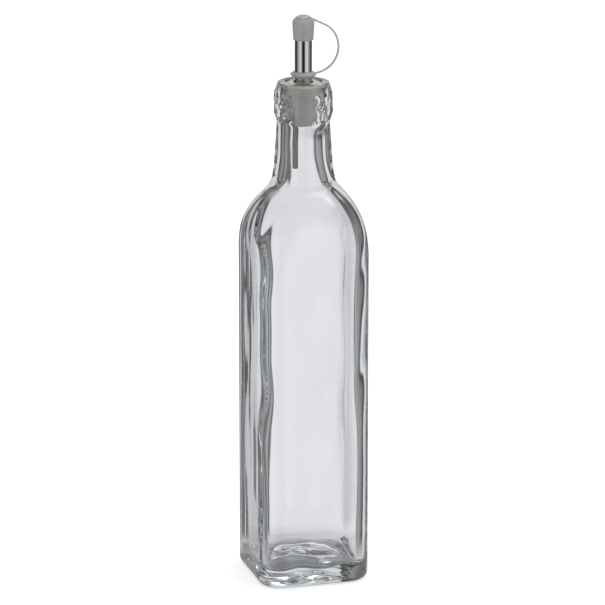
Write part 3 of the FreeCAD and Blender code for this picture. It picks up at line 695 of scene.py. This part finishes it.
# White paint, quite dull. It glows only to the camera, so that it shows white round the object's
# shadow.
def white_table():
    material, tree, output = new_material("Table, painted white")
    path = add_node(tree, "LightPath").outputs
    paint = add_node(tree, "BsdfDiffuse", Color=grey(0.8))
    glow = add_node(tree, "Emission", Color=grey(1), Strength=TABLE_GLOW)
    glowing = add_node(tree, "AddShader", _0=paint.outputs[0], _1=glow.outputs[0])
    shown = add_node(tree, "MixShader", _0=path["Is Camera Ray"], _1=paint.outputs[0],
                     _2=glowing.outputs[0])
    clear = add_node(tree, "BsdfTransparent")
    bent = add_node(tree, "Math", {"operation": "MAXIMUM"}, _0=path["Is Transmission Ray"],
                    _1=path["Is Glossy Ray"])
    place = add_node(tree, "TexCoord").outputs["Object"]
    away = add_node(tree, "VectorMath", {"operation": "LENGTH"}, Vector=place)
    past = add_node(tree, "MapRange", Value=away.outputs["Value"], From_Min=FOOT_SEES,
                    From_Max=FOOT_SEES_END)
    unseen = add_node(tree, "Math", {"operation": "MULTIPLY"}, _0=bent.outputs[0],
                      _1=past.outputs[0])
    mixed = add_node(tree, "MixShader", _0=unseen.outputs[0], _1=shown.outputs[0],
                     _2=clear.outputs[0])
    tree.links.new(mixed.outputs[0], output.inputs["Surface"])
    return material


def studio_wall(tree, bearing, height, levels, fades):
    """The studio's wall as one kind of ray sees it: its level by bearing, between soft heights."""
    ramp = add_node(tree, "ValToRGB", Fac=bearing)
    ramp.color_ramp.interpolation = "EASE"
    elements = ramp.color_ramp.elements
    for index, (degrees, level) in enumerate(levels):
        place = degrees / 360 + 0.5
        element = elements[index] if index < 2 else elements.new(place)
        element.position = place
        element.color = grey(level)
    low, low_end, high, high_end, beyond = fades
    rising = add_node(tree, "MapRange", Value=height, From_Min=low, From_Max=low_end,
                      To_Min=beyond)
    falling = add_node(tree, "MapRange", Value=height, From_Min=high, From_Max=high_end,
                       To_Min=1.0, To_Max=beyond)
    within = add_node(tree, "Math", {"operation": "MINIMUM"}, _0=rising.outputs[0],
                      _1=falling.outputs[0])
    return add_node(tree, "VectorMath", {"operation": "SCALE"}, Vector=ramp.outputs["Color"],
                    Scale=within.outputs[0]).outputs[0]


def studio_world():
    world = bpy.data.worlds.new("Studio")
    world.use_nodes = True
    tree = world.node_tree
    tree.nodes.clear()
    path = add_node(tree, "LightPath").outputs
    look = add_node(tree, "TexCoord").outputs["Generated"]
    axes = add_node(tree, "SeparateXYZ", Vector=look).outputs
    turn = add_node(tree, "Math", {"operation": "ARCTAN2"}, _0=axes["X"], _1=axes["Y"])
    share = add_node(tree, "Math", {"operation": "MULTIPLY_ADD"}, _0=turn.outputs[0],
                     _1=1 / (2 * pi), _2=0.5 + CAMERA_TURN / (2 * pi) + 1)
    bearing = add_node(tree, "Math", {"operation": "FRACT"}, _0=share.outputs[0]).outputs[0]
    gloss = studio_wall(tree, bearing, axes["Z"], IN_GLOSS, IN_GLOSS_FADES)
    behind = studio_wall(tree, bearing, axes["Z"], BEHIND_GLASS, BEHIND_GLASS_FADES)

    # Plain surfaces are lit by a soft white room, which is a little dimmer overhead.
    upward = add_node(tree, "MapRange", Value=axes["Z"], From_Min=0.2, From_Max=0.9).outputs[0]
    plain = add_node(tree, "Mix", RGBA, _0=upward, _6=grey(0.95), _7=grey(0.55))
    # Straight up and down, the glass shows plain pale grey.
    steep = add_node(tree, "Math", {"operation": "ABSOLUTE"}, _0=axes["Z"]).outputs[0]
    overhead = add_node(tree, "MapRange", Value=steep, From_Min=0.7, From_Max=0.9).outputs[0]
    above = add_node(tree, "Mix", RGBA, _0=overhead, _6=behind, _7=grey(0.72))
    # A ray that has just left the glass counts as glossy too, so what shows through the glass is
    # put in after the gloss.
    glossy = add_node(tree, "Mix", RGBA, _0=path["Is Glossy Ray"], _6=plain.outputs["Result"],
                      _7=gloss)
    through = add_node(tree, "Mix", RGBA, _0=path["Is Transmission Ray"],
                       _6=glossy.outputs["Result"], _7=above.outputs["Result"])
    shown = add_node(tree, "Mix", RGBA, _0=path["Is Camera Ray"], _6=through.outputs["Result"],
                     _7=grey(1))
    background = add_node(tree, "Background", Color=shown.outputs["Result"], Strength=1.0)
    output = add_node(tree, "OutputWorld")
    tree.links.new(background.outputs[0], output.inputs["Surface"])
    return world


bm = bmesh.new()
bmesh.ops.create_grid(bm, x_segments=1, y_segments=1, size=TABLE_REACH)
table = finished("table", bm)
table.data.materials.append(white_table())

scene.world = studio_world()
scene.view_settings.view_transform = "Standard"
scene.cycles.max_bounces = BOUNCES
scene.cycles.transmission_bounces = BOUNCES
scene.cycles.glossy_bounces = BOUNCES
scene.cycles.transparent_max_bounces = CLEAR_BOUNCES

key = bpy.data.lights.new("overhead", "AREA")
key.shape, key.size, key.size_y, key.energy = "RECTANGLE", LAMP_SIDE, LAMP_SIDE, LAMP_POWER
lamp = bpy.data.objects.new("overhead", key)
lamp.location = LAMP_PLACE
lamp.rotation_euler = (lamp.location - LAMP_AIM).to_track_quat("Z", "Y").to_euler()
lamp.visible_camera = False
scene.collection.objects.link(lamp)

eye = bpy.data.cameras.new("camera")
eye.sensor_width, eye.lens = 36, 232.6
eye.clip_start, eye.clip_end = 0.1, 50
camera = bpy.data.objects.new("camera", eye)
ahead = Vector((-sin(CAMERA_TURN) * cos(CAMERA_TILT), cos(CAMERA_TURN) * cos(CAMERA_TILT),
                -sin(CAMERA_TILT)))
aim = Vector((-cos(CAMERA_TURN) * AIM_LEFT, -sin(CAMERA_TURN) * AIM_LEFT, AIM_HEIGHT))
camera.location = aim - ahead * CAMERA_DISTANCE * MM
camera.rotation_euler = (pi / 2 - CAMERA_TILT, 0, CAMERA_TURN)
scene.collection.objects.link(camera)
scene.camera = camera
